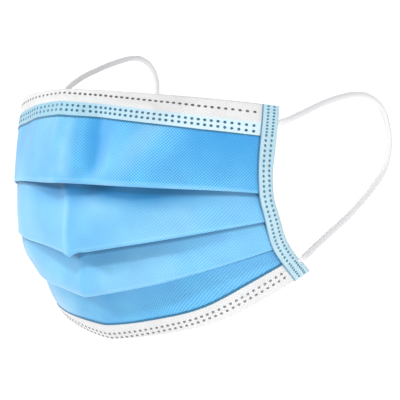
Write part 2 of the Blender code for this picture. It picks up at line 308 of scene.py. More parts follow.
def cloth_column(across, top, bottom):
    """Points down the middle of the laminate, how far down the cloth each one is, how far it is
    from the pressed edge of a pleat, how far inside a pleat's mouth it lies with the strength of
    the painted shadow there, and a painted tone for light and shade: the height of the soft
    swells, plus painted light on the panels below the first pleat and painted shade towards the
    near cheek on the nose panel."""
    points, edges, mouth_shading, painted_tones = [], [], [], []
    opening = fold_radius(across) / OPEN_FOLD
    u = across * CLOTH_HALF_WIDTH
    # Painted tone of the nose panel: paler by the middle, painted shade towards the near cheek.
    painted_shading = 0.0008 - 0.0015 * eased(u, 0.004, 0.024) - 0.0009 * eased(u, 0.040, 0.062)
    for number in range(1, len(LINES)):
        length = panel_length(number, across)
        first = top / length if number == 1 else 0.0
        last = 1 - bottom / length if number == len(LINES) - 1 else 1.0
        rows = LINES[number].rows
        for step in range(rows + 1):
            share = first + (last - first) * step / rows
            points.append(panel_point(number, across, share))
            edges.append((1 - share) * length if number < len(LINES) - 1 else length)
            shade = opening * (LOWER_MOUTH_SHADE if number > 2 else 1.0)
            mouth_shading.append((shade, share * length if number > 1 else length))
            painted_tones.append((0.0, painted_shading, *LOWER_PAINTED_LIGHT)[number])
        if number < len(LINES) - 1:
            hidden = pleat_points(number, across, 6)
            points += hidden
            edges += [0.0, 0.0] + [length] * (len(hidden) - 2)
            painted_tones += [0.0] * len(hidden)
            mouth_shading += [(opening, length)] * 2 + [(opening, 0.0)] * (len(hidden) - 2)
    swells_and_tones = [(swell(u, point.z) + more, 0.0) for point, more in zip(points, painted_tones)]
    points = [handled(point, across) for point in points]
    return points, reach_along(points, top), edges, mouth_shading, swells_and_tones


def grid_normals(columns):
    """Outward normals of a grid of points, whose columns run down the cloth."""
    normals = []
    for number, column in enumerate(columns):
        left = columns[max(number - 1, 0)]
        right = columns[min(number + 1, len(columns) - 1)]
        row = []
        for spot in range(len(column)):
            above = column[max(spot - 1, 0)]
            below = column[min(spot + 1, len(column) - 1)]
            row.append(outward_of(below - above, right[spot] - left[spot]))
        normals.append(row)
    return normals


def add_piece(name, verts, faces, material):
    """Smooth mesh piece in the scene."""
    mesh = bpy.data.meshes.new(name)
    mesh.from_pydata(verts, [], faces)
    mesh.materials.append(material)
    mesh.shade_smooth()
    piece = bpy.data.objects.new(name, mesh)
    bpy.context.scene.collection.objects.link(piece)
    return piece


def ply(name, columns, normals, depth, thickness, maps, material):
    """One closed ply at a depth behind the middle of the cloth, with its maps in metres."""
    rows = len(columns[0])
    count = len(columns) * rows
    verts = []
    for offset in (-depth + thickness / 2, -depth - thickness / 2):
        for column, outward in zip(columns, normals):
            verts += [tuple(p + n * offset) for p, n in zip(column, outward)]
    faces = []
    for column in range(len(columns) - 1):
        for row in range(rows - 1):
            corner = column * rows + row
            quad = (corner, corner + 1, corner + rows + 1, corner + rows)
            faces.append(quad)
            faces.append(tuple(count + spot for spot in reversed(quad)))
    rim = list(range(rows))
    rim += [column * rows + rows - 1 for column in range(1, len(columns))]
    rim += [(len(columns) - 1) * rows + row for row in range(rows - 2, -1, -1)]
    rim += [column * rows for column in range(len(columns) - 2, 0, -1)]
    for spot, after in zip(rim, rim[1:] + rim[:1]):
        faces.append((after, spot, count + spot, count + after))
    piece = add_piece(name, verts, faces, material)
    for title, places in maps.items():
        layer = piece.data.uv_layers.new(name=title)
        flat = [place for column in places for place in column] * 2
        for loop in piece.data.loops:
            layer.data[loop.index].uv = flat[loop.vertex_index]
    piece.data.set_sharp_from_angle(angle=math.radians(60))
    return piece


def feed(socket, value):
    """Link a socket to another one, or set it to a constant. A colour has no alpha yet."""
    if isinstance(value, bpy.types.NodeSocket):
        socket.id_data.links.new(value, socket)
    else:
        socket.default_value = (*value, 1.0) if isinstance(value, tuple) else value


def add_node(tree, kind, inputs, **settings):
    """New node with its settings, and with links or constants in its inputs."""
    node = tree.nodes.new(kind)
    for name, value in settings.items():
        setattr(node, name, value)
    for name, value in inputs.items():
        feed(node.inputs[name], value)
    return node


def maths(tree, operation, *values):
    inputs = dict(enumerate(values))
    return add_node(tree, "ShaderNodeMath", inputs, operation=operation).outputs[0]


def ramp(tree, value, low, high, most=1.0, least=0.0, kind="SMOOTHSTEP"):
    """Share that changes from the least at the low value to the most at the high one."""
    inputs = {"Value": value, "From Min": low, "From Max": high, "To Min": least, "To Max": most}
    node = add_node(tree, "ShaderNodeMapRange", inputs, interpolation_type=kind)
    return node.outputs["Result"]


def blend(tree, share, first, second):
    """Colour that lies between two colours, by a share."""
    inputs = {"Factor": share, "A": first, "B": second}
    return add_node(tree, "ShaderNodeMix", inputs, data_type="RGBA").outputs["Result"]


def map_parts(tree, title):
    """The two values of one of a piece's maps."""
    place = add_node(tree, "ShaderNodeUVMap", {}, uv_map=title)
    parts = add_node(tree, "ShaderNodeSeparateXYZ", {0: place.outputs["UV"]})
    return parts.outputs["X"], parts.outputs["Y"]


def new_material(name, inputs):
    """Material with its node tree and its shader, whose constants are given."""
    material = bpy.data.materials.new(name)
    material.use_nodes = True
    shader = material.node_tree.nodes["Principled BSDF"]
    for title, value in inputs.items():
        feed(shader.inputs[title], value)
    return material, material.node_tree, shader


def emboss_group():
    """Pattern of the hot rollers: small melted diamonds in crossing rows, and loose fibres."""
    group = bpy.data.node_groups.new("spunbond emboss", "ShaderNodeTree")
    face = group.interface
    face.new_socket(name="Place", in_out="INPUT", socket_type="NodeSocketVector")
    face.new_socket(name="Per metre", in_out="INPUT", socket_type="NodeSocketFloat")
    for title in ("Diamonds", "Fibres", "Cloud"):
        face.new_socket(name=title, in_out="OUTPUT", socket_type="NodeSocketFloat")
    source = group.nodes.new("NodeGroupInput").outputs
    given = {0: source["Place"], "Scale": source["Per metre"]}
    scaled = add_node(group, "ShaderNodeVectorMath", given, operation="SCALE").outputs[0]
    parts = add_node(group, "ShaderNodeSeparateXYZ", {0: scaled})
    waves = []
    for operation in ("ADD", "SUBTRACT"):
        crossed = maths(group, operation, parts.outputs["X"], parts.outputs["Y"])
        turned = maths(group, "MULTIPLY", crossed, math.pi)
        waves.append(maths(group, "ABSOLUTE", maths(group, "SINE", turned)))
    grain = {"Vector": scaled, "Scale": 2.6, "Detail": 3.0, "Roughness": 0.7}
    fibres = add_node(group, "ShaderNodeTexNoise", grain)
    cloud = add_node(
        group, "ShaderNodeTexNoise", {"Vector": scaled, "Scale": 0.11, "Detail": 2.0}
    )
    results = {
        "Diamonds": maths(group, "MULTIPLY", *waves),
        "Fibres": fibres.outputs["Fac"],
        "Cloud": cloud.outputs["Fac"],
    }
    add_node(group, "NodeGroupOutput", results)
    return group


EMBOSS = emboss_group()


def cloth_material(name, deep, raised, roughness, per_metre, relief, evened=None):
    """Spunbond cloth in two shades, the deeper one in the melted diamonds between the fibres.
    Its emboss can be evened out in places."""
    constants = {
        "Roughness": roughness,
        "Specular IOR Level": 0.5,
        "Sheen Weight": 0.4,
        "Sheen Roughness": 0.4,
    }
    material, tree, shader = new_material(name, constants)
    place = add_node(tree, "ShaderNodeUVMap", {}, uv_map="cloth")
    emboss = add_node(tree, "ShaderNodeGroup", {}, node_tree=EMBOSS)
    feed(emboss.inputs["Per metre"], per_metre)
    feed(emboss.inputs["Place"], place.outputs["UV"])
    diamonds, cloud = emboss.outputs["Diamonds"], emboss.outputs["Cloud"]
    pattern = evened(tree, diamonds) if evened else diamonds
    grey = add_node(
        tree, "ShaderNodeCombineColor", {"Red": cloud, "Green": cloud, "Blue": cloud}
    )
    clouded = add_node(
        tree,
        "ShaderNodeMix",
        {"Factor": 0.22, "A": blend(tree, pattern, deep, raised), "B": grey.outputs["Color"]},
        data_type="RGBA",
        blend_type="OVERLAY",
    )
    feed(shader.inputs["Base Color"], clouded.outputs["Result"])
    height = maths(tree, "MULTIPLY_ADD", emboss.outputs["Fibres"], 0.4, diamonds)
    bump = add_node(
        tree, "ShaderNodeBump", {"Distance": relief, "Strength": 0.6, "Height": height}
    )
    feed(shader.inputs["Normal"], bump.outputs["Normal"])
    return material, shader, clouded.outputs["Result"]


def taut_side(tree, diamonds):
    """The emboss is drawn flatter on the wearer's right, where the cloth is pulled taut."""
    across, _ = map_parts(tree, "cloth")
    taut = ramp(tree, across, -0.012, 0.040, least=0.30)
    mixed = add_node(tree, "ShaderNodeMix", {"Factor": taut, "A": 0.45, "B": diamonds})
    return mixed.outputs["Result"]


def painted_swell_light(tree, shades):
    """Painted light and shade: the cloth is painted paler over a swell and deeper in a hollow."""
    swell_tone, _ = map_parts(tree, "swells")
    painted_shading = ramp(tree, swell_tone, 0.0002, -0.0026, 0.62)
    painted_darker = blend(tree, painted_shading, shades, (0.006, 0.255, 0.640))
    return blend(tree, ramp(tree, swell_tone, 0.0002, 0.0024, 0.34), painted_darker, (0.400, 0.680, 0.840))


def painted_crease_highlights(tree, shades):
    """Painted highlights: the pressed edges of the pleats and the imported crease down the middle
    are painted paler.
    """
    sideways, from_edge = map_parts(tree, "pleat edges")
    _, down = map_parts(tree, "cloth")
    pressed = ramp(tree, from_edge, 0.0008, 0.0003, 0.15)
    crease_highlight = ramp(tree, maths(tree, "ABSOLUTE", sideways), 0.0024, 0.0004, 0.27)
    starting = ramp(tree, down, -0.036, -0.041)
    fading = ramp(tree, down, -0.105, -0.090)
    kept = maths(tree, "MULTIPLY", crease_highlight, maths(tree, "MULTIPLY", starting, fading))
    return blend(tree, maths(tree, "MAXIMUM", pressed, kept), shades, (0.38, 0.72, 0.90))


def painted_mouth_shadows(tree, shades):
    """Painted shadow in a pleat's mouth: the cloth there is painted a deeper blue, darkest in the
    fold itself.
    """
    opening, inside = map_parts(tree, "pleat mouths")
    depth = ramp(tree, inside, 0.0105, -0.0005, kind="SMOOTHERSTEP")
    painted_darker = blend(tree, maths(tree, "MULTIPLY", depth, opening), shades, (0.0, 0.205, 0.500))
    return blend(tree, ramp(tree, inside, 0.0021, 0.0007, 0.72), painted_darker, (0.004, 0.110, 0.250))


PLY_THICKNESS = 0.00028
PLY_DEPTH = 0.00017
CLOTH_COLUMNS = 150
CLOTH_TOP = 0.0052
CLOTH_FOOT = 0.0016
SIDE_MARGIN = 0.0012

side_most = 1 - SIDE_MARGIN / CLOTH_HALF_WIDTH
columns, places, pleat_edges, pleat_mouth_shading, swells = [], [], [], [], []
for step in range(CLOTH_COLUMNS + 1):
    across = side_most * (2 * step / CLOTH_COLUMNS - 1)
    points, reach, edges, mouth_shading, swells_and_tones = cloth_column(across, CLOTH_TOP, CLOTH_FOOT)
    columns.append(points)
    swells.append(swells_and_tones)
    pleat_mouth_shading.append(mouth_shading)
    pleat_edges.append([(across * CLOTH_HALF_WIDTH, edge) for edge in edges])
    places.append([(across * CLOTH_HALF_WIDTH, -spot) for spot in reach])
normals = grid_normals(columns)

blue_cloth, blue_shader, blue_shades = cloth_material(
    "blue spunbond", (0.014, 0.29, 0.66), (0.190, 0.57, 0.82), 0.55, 800.0, 0.00010, taut_side
)
# Painted light and shade on the blue cloth: over swells and hollows, at the creases and in the
# pleat mouths.
for change in (painted_swell_light, painted_crease_highlights, painted_mouth_shadows):
    blue_shades = change(blue_cloth.node_tree, blue_shades)
feed(blue_shader.inputs["Base Color"], blue_shades)
white_cloth, _, _ = cloth_material(
    "white spunbond", (0.66, 0.655, 0.66), (0.80, 0.795, 0.80), 0.75, 800.0, 0.00012
)
outer_maps = {
    "cloth": places,
    "pleat edges": pleat_edges,
    "pleat mouths": pleat_mouth_shading,
    "swells": swells,
}
outer_ply = ply(
    "outer_blue_ply", columns, normals, -PLY_DEPTH, PLY_THICKNESS, outer_maps, blue_cloth
)
inner_ply = ply(
    "inner_white_ply", columns, normals, PLY_DEPTH, PLY_THICKNESS, {"cloth": places}, white_cloth
)
for cloth in (outer_ply, inner_ply):
    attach(cloth, "root")
    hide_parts("pleated_panel")

# The top edge is bound by a white ply, folded over the edge and welded through: one row of
# dashes above the wire channel, and two rows of dots where it lies over the blue cloth,
# which shows through it as a pale strip.
HemMark = namedtuple("HemMark", "across dashes strip dots_1 dots_2 foot")
TOP_MARKS = (
    HemMark(0.00, 0.0017, 0.0050, 0.0065, 0.0084, 0.0112),
    HemMark(0.20, 0.0021, 0.0055, 0.0070, 0.0089, 0.0115),
    HemMark(0.40, 0.0028, 0.0064, 0.0079, 0.0098, 0.0123),
    HemMark(0.65, 0.0034, 0.0072, 0.0087, 0.0106, 0.0131),
    HemMark(0.92, 0.0035, 0.0074, 0.0089, 0.0112, 0.0130),
)
HEM_LIFT = 0.0005
HEM_THICKNESS = 0.00022
LEAF_START = 0.0008
FIRST_WELD = 0.0008
WIRE_HALF_LENGTH = 0.0415
HEM_REACH = 1 - 0.0030 / CLOTH_HALF_WIDTH


def top_spot(across, down, lift):
    """Point on the top hem's front leaf, a way down from the edge, lifted off the cloth."""
    share = down / panel_length(1, across)
    point = panel_point(1, across, share) + panel_outward(1, across, share) * lift
    return handled(point, across)


def bottom_spot(across, up, lift):
    share = 1 - up / panel_length(4, across)
    point = panel_point(4, across, share) + panel_outward(4, across, share) * lift
    return handled(point, across)


def wire_lift(across, down):
    """The hem stands up a little over the nose wire."""
    u = abs(across) * CLOTH_HALF_WIDTH
    low = between(TOP_MARKS, abs(across), 1) + 0.0010
    high = between(TOP_MARKS, abs(across), 2)
    over = eased(down, low - 0.0003, low + 0.0003) * (1 - eased(down, high - 0.0003, high + 0.0003))
    return 0.00050 * over * (1 - eased(u, WIRE_HALF_LENGTH - 0.0002, WIRE_HALF_LENGTH + 0.0003))


def hem_column(across, spot_at, heights, bands, lift_at):
    """Front leaf, fold over the edge and rear leaf of a hem, with the band of each point."""
    radius = HEM_LIFT
    points, marks = [], []
    for height, band in zip(heights, bands):
        points.append(spot_at(across, height, HEM_LIFT + lift_at(across, height)))
        marks.append(band)
    centre = spot_at(across, radius, 0.0)
    outward = (spot_at(across, radius, radius) - centre).normalized()
    inner = (spot_at(across, radius + 0.001, 0.0) - centre).normalized()
    for step in range(7):
        angle = math.pi * step / 6
        offset = outward * math.cos(angle) - inner * math.sin(angle)
        points.append(centre + offset * radius)
        marks.append(0.0)
    for height, band in zip(reversed(heights[:-1]), reversed(bands[:-1])):
        points.append(spot_at(across, height, -HEM_LIFT))
        marks.append(-band)
    return points, marks


top_shares = [HEM_REACH * (2 * step / CLOTH_COLUMNS - 1) for step in range(CLOTH_COLUMNS + 1)]
for beyond in (-0.0002, 0.0, 0.0002, 0.0005):
    wire_end = (WIRE_HALF_LENGTH + beyond) / CLOTH_HALF_WIDTH
    top_shares += [wire_end, -wire_end]
top_columns, top_places, top_bands = [], [], []
for across in sorted(top_shares):
    marks = [0.0] + [between(TOP_MARKS, abs(across), number) for number in range(1, 6)]
    heights, bands = [], []
    for band in range(5, 0, -1):
        for part in range(4):
            share = part / 4
            height = marks[band] + (marks[band - 1] - marks[band]) * share
            if height > LEAF_START:
                heights.append(height)
                bands.append(band - share)
    while len(heights) < 20:
        heights.append(heights[-1] * 0.97)
        bands.append(bands[-1])
    points, spots = hem_column(across, top_spot, heights, bands, wire_lift)
    top_columns.append(points)
    u = across * CLOTH_HALF_WIDTH
    top_places.append([(u, spot) for spot in reach_along(points)])
    top_bands.append([(u, band) for band in spots])


def hem_material(name, deep, raised, line_from, line_to, tinted=None):
    """White hem with a dark line painted along its foot: a painted shadow of the step there,
    partly the blue cloth showing through. It can be tinted in places.
    """
    material, shader, shades = cloth_material(name, deep, raised, 0.75, 800.0, 0.00012)
    tree = material.node_tree
    if tinted:
        shades = tinted(tree, shades)
    _, band = map_parts(tree, "bands")
    # Painted shadow line along the hem's foot, partly the blue cloth showing through.
    foot = ramp(tree, band, line_from, line_to, kind="LINEAR")
    feed(shader.inputs["Base Color"], blend(tree, foot, shades, (0.020, 0.16, 0.29)))
    return material


def blue_showing_through(tree, shades):
    """The hem's lower part lies over the blue cloth and turns pale blue, less so to the left."""
    across, band = map_parts(tree, "bands")
    nearer = ramp(tree, across, -0.01, 0.06, kind="LINEAR")
    pale = blend(tree, nearer, (0.25, 0.49, 0.62), (0.58, 0.73, 0.79))
    return blend(tree, ramp(tree, band, 1.93, 2.10, kind="LINEAR"), shades, pale)


top_cloth = hem_material(
    "white hem over blue",
    (0.60, 0.60, 0.605),
    (0.72, 0.72, 0.725),
    4.70,
    4.76,
    blue_showing_through,
)
top_hem = ply(
    "nose_hem_ply",
    top_columns,
    grid_normals(top_columns),
    0.0,
    HEM_THICKNESS,
    {"cloth": top_places, "bands": top_bands},
    top_cloth,
)
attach(top_hem, "root")
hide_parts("top_hem")


def weld_marks(name, spots, colour):
    """Small melted pits. Each spot is a centre, outward, long half axis and short half axis."""
    material, tree, shader = new_material(name.replace("_", " "), {"Roughness": 0.45})
    where = add_node(tree, "ShaderNodeTexCoord", {})
    grain = add_node(
        tree, "ShaderNodeTexNoise", {"Scale": 900.0, "Vector": where.outputs["Object"]}
    )
    darker = tuple(part * 0.75 for part in colour)
    lighter = tuple(min(part * 1.3, 1.0) for part in colour)
    feed(shader.inputs["Base Color"], blend(tree, grain.outputs["Fac"], darker, lighter))
    verts, faces = [], []
    sides = 8
    for centre, outward, long_axis, short_axis in spots:
        base = len(verts)
        verts.append(tuple(centre + outward * 0.00003))
        verts.append(tuple(centre - outward * 0.00010))
        for size, level in ((0.6, 0.00004), (1.0, 0.00008), (1.0, -0.00010)):
            for side in range(sides):
                angle = 2 * math.pi * side / sides
                spot = centre + long_axis * (size * math.cos(angle))
                spot += short_axis * (size * math.sin(angle)) + outward * level
                verts.append(tuple(spot))
        for side in range(sides):
            after = (side + 1) % sides
            ring = [base + 2 + sides * number for number in range(3)]
            faces.append((base, ring[0] + side, ring[0] + after))
            faces.append((ring[0] + side, ring[1] + side, ring[1] + after, ring[0] + after))
            faces.append((ring[1] + side, ring[2] + side, ring[2] + after, ring[1] + after))
            faces.append((base + 1, ring[2] + after, ring[2] + side))
    piece = add_piece(name, verts, faces, material)
    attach(piece, "root")
    return piece


def row_of_welds(spot_at, row_at, lift, pitches, length, width, reach):
    """Weld spots along a row, whose place down the cloth and pitch change across it."""
    spots = []
    for way in (1, -1):
        u = FIRST_WELD if way > 0 else FIRST_WELD - between(pitches, 0.0, 1)
        while abs(u) < reach:
            across = u / CLOTH_HALF_WIDTH
            row = row_at(across)
            extra = lift(across, row)
            centre = spot_at(across, row, extra)
            side = spot_at(across + 0.004, row, extra) - spot_at(across - 0.004, row, extra)
            down = spot_at(across, row + 0.0004, extra) - spot_at(across, row - 0.0004, extra)
            outward = outward_of(down, side)
            if outward.dot(spot_at(across, row, extra + 0.001) - centre) < 0:
                outward = -outward
            along = side.normalized()
            spots.append(
                (centre, outward, along * (length / 2), outward.cross(along) * (width / 2))
            )
            u += way * between(pitches, u, 1)
    return spots


TOP_PITCHES = (
    (-0.090, 0.0034),
    (-0.020, 0.0039),
    (-0.004, 0.0030),
    (0.005, 0.0025),
    (0.015, 0.00235),
    (0.045, 0.0024),
    (0.060, 0.0026),
    (0.075, 0.0030),
    (0.090, 0.0033),
)
hem_face = HEM_LIFT + HEM_THICKNESS / 2


def on_top_hem(across, down):
    return hem_face + wire_lift(across, down)


def top_row(column):
    return lambda across: between(TOP_MARKS, abs(across), column)


dash_spots = row_of_welds(top_spot, top_row(1), on_top_hem, TOP_PITCHES, 0.0015, 0.00095, 0.0846)
dashes = weld_marks("nose_hem_dashes", dash_spots, (0.095, 0.085, 0.085))
dot_spots = []
for column in (3, 4):
    dot_spots += row_of_welds(
        top_spot, top_row(column), on_top_hem, TOP_PITCHES, 0.00135, 0.00112, 0.0834
    )
top_dots = weld_marks("nose_hem_dots", dot_spots, (0.018, 0.115, 0.20))

# A flat wire in a plastic coat lies in the channel between the dashes and the pale strip. The
# wearer bends it over the nose.
wire_columns, wire_places = [], []
for step in range(41):
    across = (WIRE_HALF_LENGTH / CLOTH_HALF_WIDTH) * (step / 20 - 1)
    low = between(TOP_MARKS, abs(across), 1) + 0.0005
    high = between(TOP_MARKS, abs(across), 2) - 0.0001
    points = [top_spot(across, low + (high - low) * part / 6, 0.0003) for part in range(7)]
    wire_columns.append(points)
    wire_places.append([(across * CLOTH_HALF_WIDTH, low + part / 1500) for part in range(7)])
wire_coat, _, _ = cloth_material(
    "coated wire", (0.62, 0.62, 0.63), (0.70, 0.70, 0.71), 0.4, 2500.0, 0.00002
)
nose_wire = ply(
    "nose_wire_strip",
    wire_columns,
    grid_normals(wire_columns),
    0.0,
    0.0004,
    {"cloth": wire_places},
    wire_coat,
)
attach(nose_wire, "root")
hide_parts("nose_wire")

# The bottom edge is bound the same way, by one white ply that is folded over it. Two rows of
# weld dots run near the fold, and a dark line is painted along the ply's foot: painted shadow,
# partly the blue cloth showing through.
BOTTOM_MARKS = (
    HemMark(0.00, 0.0009, 0.0030, 0.0045, 0.0060, 0.0077),
    HemMark(0.40, 0.0023, 0.0041, 0.0050, 0.0063, 0.0080),
    HemMark(0.55, 0.0029, 0.0047, 0.0054, 0.0066, 0.0084),
    HemMark(0.92, 0.0036, 0.0058, 0.0066, 0.0078, 0.0099),
)
bottom_columns, bottom_places, bottom_bands = [], [], []


def no_lift(across, height):
    return 0.0


for step in range(CLOTH_COLUMNS + 1):
    across = HEM_REACH * (2 * step / CLOTH_COLUMNS - 1)
    foot = between(BOTTOM_MARKS, abs(across), 5)
    heights = [foot + (LEAF_START - foot) * part / 14 for part in range(15)]
    bands = [height / foot for height in heights]
    points, spots = hem_column(across, bottom_spot, heights, bands, no_lift)
    bottom_columns.append(points)
    u = across * CLOTH_HALF_WIDTH
    bottom_places.append([(u, spot) for spot in reach_along(points)])
    bottom_bands.append([(u, band) for band in spots])
bottom_cloth = hem_material(
    "white chin hem", (0.63, 0.63, 0.635), (0.75, 0.75, 0.755), 0.895, 0.915
)
bottom_hem = ply(
    "chin_hem_ply",
    bottom_columns,
    grid_normals(bottom_columns),
    0.0,
    HEM_THICKNESS,
    {"cloth": bottom_places, "bands": bottom_bands},
    bottom_cloth,
)
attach(bottom_hem, "root")
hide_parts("bottom_hem")


def on_bottom_hem(across, up):
    return hem_face


def bottom_row(column):
    return lambda across: between(BOTTOM_MARKS, abs(across), column)


BOTTOM_PITCHES = ((-0.09, 0.0027), (0.0, 0.0027), (0.09, 0.00255))
chin_spots = []
for column in (1, 2):
    chin_spots += row_of_welds(
        bottom_spot, bottom_row(column), on_bottom_hem, BOTTOM_PITCHES, 0.0013, 0.0010, 0.0842
    )
chin_dots = weld_marks("chin_hem_dots", chin_spots, (0.17, 0.165, 0.175))

# A pale-blue tape is folded over each side edge and welded through all the layers by two rows
# of dots. The ends of the ear loops lie under the close double lines at its corners.
TAPE_WIDTH = 0.0072
TAPE_ROWS = 120
TAPE_LIFT = 0.00085
TAPE_THICKNESS = 0.00025
SIDE_LENGTH = 0.077
END_MARGIN = 0.0006
CLOSE_PITCH = 0.00125
OPEN_PITCH = 0.00195


@lru_cache(maxsize=None)
def edge_curve(across, share):
    points = [line_point(number, across) for number in range(len(LINES))]
    chords = [(after - before).length for before, after in zip(points, points[1:])]
    reach = share * sum(chords)
    number = 0
    while number < len(chords) - 1 and reach > chords[number]:
        reach -= chords[number]
        number += 1
    tangents = []
    for spot in (number, number + 1):
        before, after = max(spot - 1, 0), min(spot + 1, len(points) - 1)
        tangents.append((points[after] - points[before]) / sum(chords[before:after]))
    length = chords[number]
    start, end = points[number], points[number + 1]
    return hermite(start, tangents[0] * length, end, tangents[1] * length, reach / length)


def tape_point(across, share, lift):
    """Point on the side edge's smooth surface, lifted off it. Across is positive."""
    point = edge_curve(across, share)
    above = edge_curve(across, max(share - NUDGE, 0.0))
    down = edge_curve(across, min(share + NUDGE, 1.0)) - above
    along = (point - edge_curve(across - NUDGE, share)).normalized()
    return point + outward_of(down, along) * lift, outward_of(down, along), along


def tape_rear(share):
    """The rear leaf lies behind the stack of pleats, and close to the cloth at both ends."""
    level = eased(share, 0.26, 0.36) * (1 - eased(share, 0.86, 0.96))
    return 0.00065 + 0.0022 * level


tape_cloth, tape_shader, tape_shades = cloth_material(
    "pale blue tape", (0.35, 0.56, 0.66), (0.54, 0.68, 0.75), 0.7, 900.0, 0.00010
)
# Painted shadow: a dark line painted along the tape's inner edge, where it stands off the cloth.
from_cut, _ = map_parts(tape_cloth.node_tree, "cloth")
pressed_edge = ramp(tape_cloth.node_tree, from_cut, 0.00055, 0.00030, 0.85, kind="LINEAR")
tape_shades = blend(tape_cloth.node_tree, pressed_edge, tape_shades, (0.030, 0.17, 0.31))
feed(tape_shader.inputs["Base Color"], tape_shades)
for side, side_name in ((1, "left"), (-1, "right")):
    tape_columns, tape_places = [], []
    for row in range(TAPE_ROWS + 1):
        share = row / TAPE_ROWS
        rear = tape_rear(share)
        radius = (TAPE_LIFT + rear) / 2
        fold_centre = 1 - radius / CLOTH_HALF_WIDTH
        inner = 1 - TAPE_WIDTH / CLOTH_HALF_WIDTH
        points = []
        for part in range(9):
            across = inner + (fold_centre - inner) * part / 8
            points.append(settled(tape_point(across, share, TAPE_LIFT)[0]))
        centre, outward, along = tape_point(fold_centre, share, 0.0)
        for part in range(1, 8):
            angle = math.pi * part / 8
            depth = (TAPE_LIFT - rear) / 2 + radius * math.cos(angle)
            point = centre + outward * depth + along * (radius * math.sin(angle))
            points.append(settled(point))
        for part in range(9):
            across = fold_centre + (inner - fold_centre) * part / 8
            points.append(settled(tape_point(across, share, -rear)[0]))
        tape_columns.append([Vector((side * point.x, point.y, point.z)) for point in points])
        tape_places.append([(spot, share * 0.08) for spot in reach_along(points)])
    if side < 0:
        tape_columns.reverse()
        tape_places.reverse()
    binding = ply(
        f"{side_name}_edge_tape",
        tape_columns,
        [[-n for n in row] for row in grid_normals(tape_columns)],
        0.0,
        TAPE_THICKNESS,
        {"cloth": tape_places},
        tape_cloth,
    )
    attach(binding, "root")
    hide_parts(f"side_binding_{side_name}")


def tape_welds(side):
    """Two rows of dots down the tape, close together over the ends of the ear loop."""
    spots = []
    for inset in (0.0024, 0.0049):
        across = 1 - (TAPE_WIDTH - inset) / CLOTH_HALF_WIDTH
        reach = END_MARGIN
        while reach < SIDE_LENGTH - END_MARGIN:
            share = reach / SIDE_LENGTH
            close = share < 0.15 or share > 0.88
            centre, outward, along = tape_point(across, share, TAPE_LIFT + TAPE_THICKNESS / 2)
            centre = settled(centre)
            down = along.cross(outward)
            size = (0.00042, 0.00056) if close else (0.00060, 0.00054)
            spot = [Vector((side * p.x, p.y, p.z)) for p in (centre, outward, down, along)]
            spots.append((spot[0], spot[1], spot[2] * size[0], spot[3] * size[1]))
            reach += CLOSE_PITCH if close else OPEN_PITCH
    return spots


tape_dots = [
    weld_marks("left_edge_welds", tape_welds(1), (0.055, 0.19, 0.27)),
    weld_marks("right_edge_welds", tape_welds(-1), (0.055, 0.19, 0.27)),
]

# Each ear loop is one soft knitted elastic cord, 2.6 mm thick, welded by its ends into the
# corners of the side tape. The shape of the worn loop holds it off the ear's place.
LOOP_DIAMETER = 0.0026
LOOP_RINGS = 160
END_FLATTENING = (0.30, 0.35, 0.50, 0.70, 0.90, 1.0)
LEFT_LOOP_ROUTE = (
    (0.0701, 0.0482, -0.0098),
    (0.0703, 0.0547, -0.0080),
    (0.0700, 0.0642, -0.0051),
    (0.0696, 0.0757, -0.0016),
    (0.0693, 0.0872, 0.0010),
    (0.0690, 0.0972, 0.0022),
    (0.0680, 0.1072, 0.0015),
    (0.0668, 0.1167, -0.0025),
    (0.0658, 0.1222, -0.0090),
    (0.0644, 0.1258, -0.0185),
    (0.0634, 0.1237, -0.0290),
    (0.0629, 0.1150, -0.0380),
    (0.0629, 0.1015, -0.0475),
    (0.0634, 0.0881, -0.0546),
    (0.0648, 0.0765, -0.0600),
    (0.0668, 0.0655, -0.0648),
)
RIGHT_LOOP_ROUTE = (
    (-0.0701, 0.0482, -0.0098),
    (-0.0706, 0.0520, -0.0090),
    (-0.0698, 0.0567, -0.0035),
    (-0.0685, 0.0610, 0.0050),
    (-0.0673, 0.0692, 0.0109),
    (-0.0662, 0.0799, 0.0154),
    (-0.0653, 0.0888, 0.0184),
    (-0.0642, 0.0975, 0.0206),
    (-0.0633, 0.1042, 0.0205),
    (-0.0620, 0.1092, 0.0170),
    (-0.0608, 0.1116, 0.0100),
    (-0.0602, 0.1107, 0.0010),
    (-0.0598, 0.1082, -0.0110),
    (-0.0600, 0.1033, -0.0240),
    (-0.0609, 0.0956, -0.0370),
    (-0.0627, 0.0851, -0.0490),
    (-0.0646, 0.0755, -0.0580),
    (-0.0668, 0.0655, -0.0648),
)


def smooth_route(route, count):
    spots = [Vector(point) for point in route]
    fine = []
    for number in range(len(spots) - 1):
        start, end = spots[number], spots[number + 1]
        before = spots[number - 1] if number else start * 2 - end
        after = spots[number + 2] if number + 2 < len(spots) else end * 2 - start
        for step in range(20):
            fine.append(hermite(start, (end - before) / 2, end, (after - start) / 2, step / 20))
    fine.append(spots[-1])
    reach = reach_along(fine)
    points = []
    number = 0
    for step in range(count):
        goal = reach[-1] * step / (count - 1)
        while number < len(fine) - 2 and reach[number + 1] < goal:
            number += 1
        share = (goal - reach[number]) / (reach[number + 1] - reach[number])
        points.append(fine[number].lerp(fine[number + 1], share))
    return points


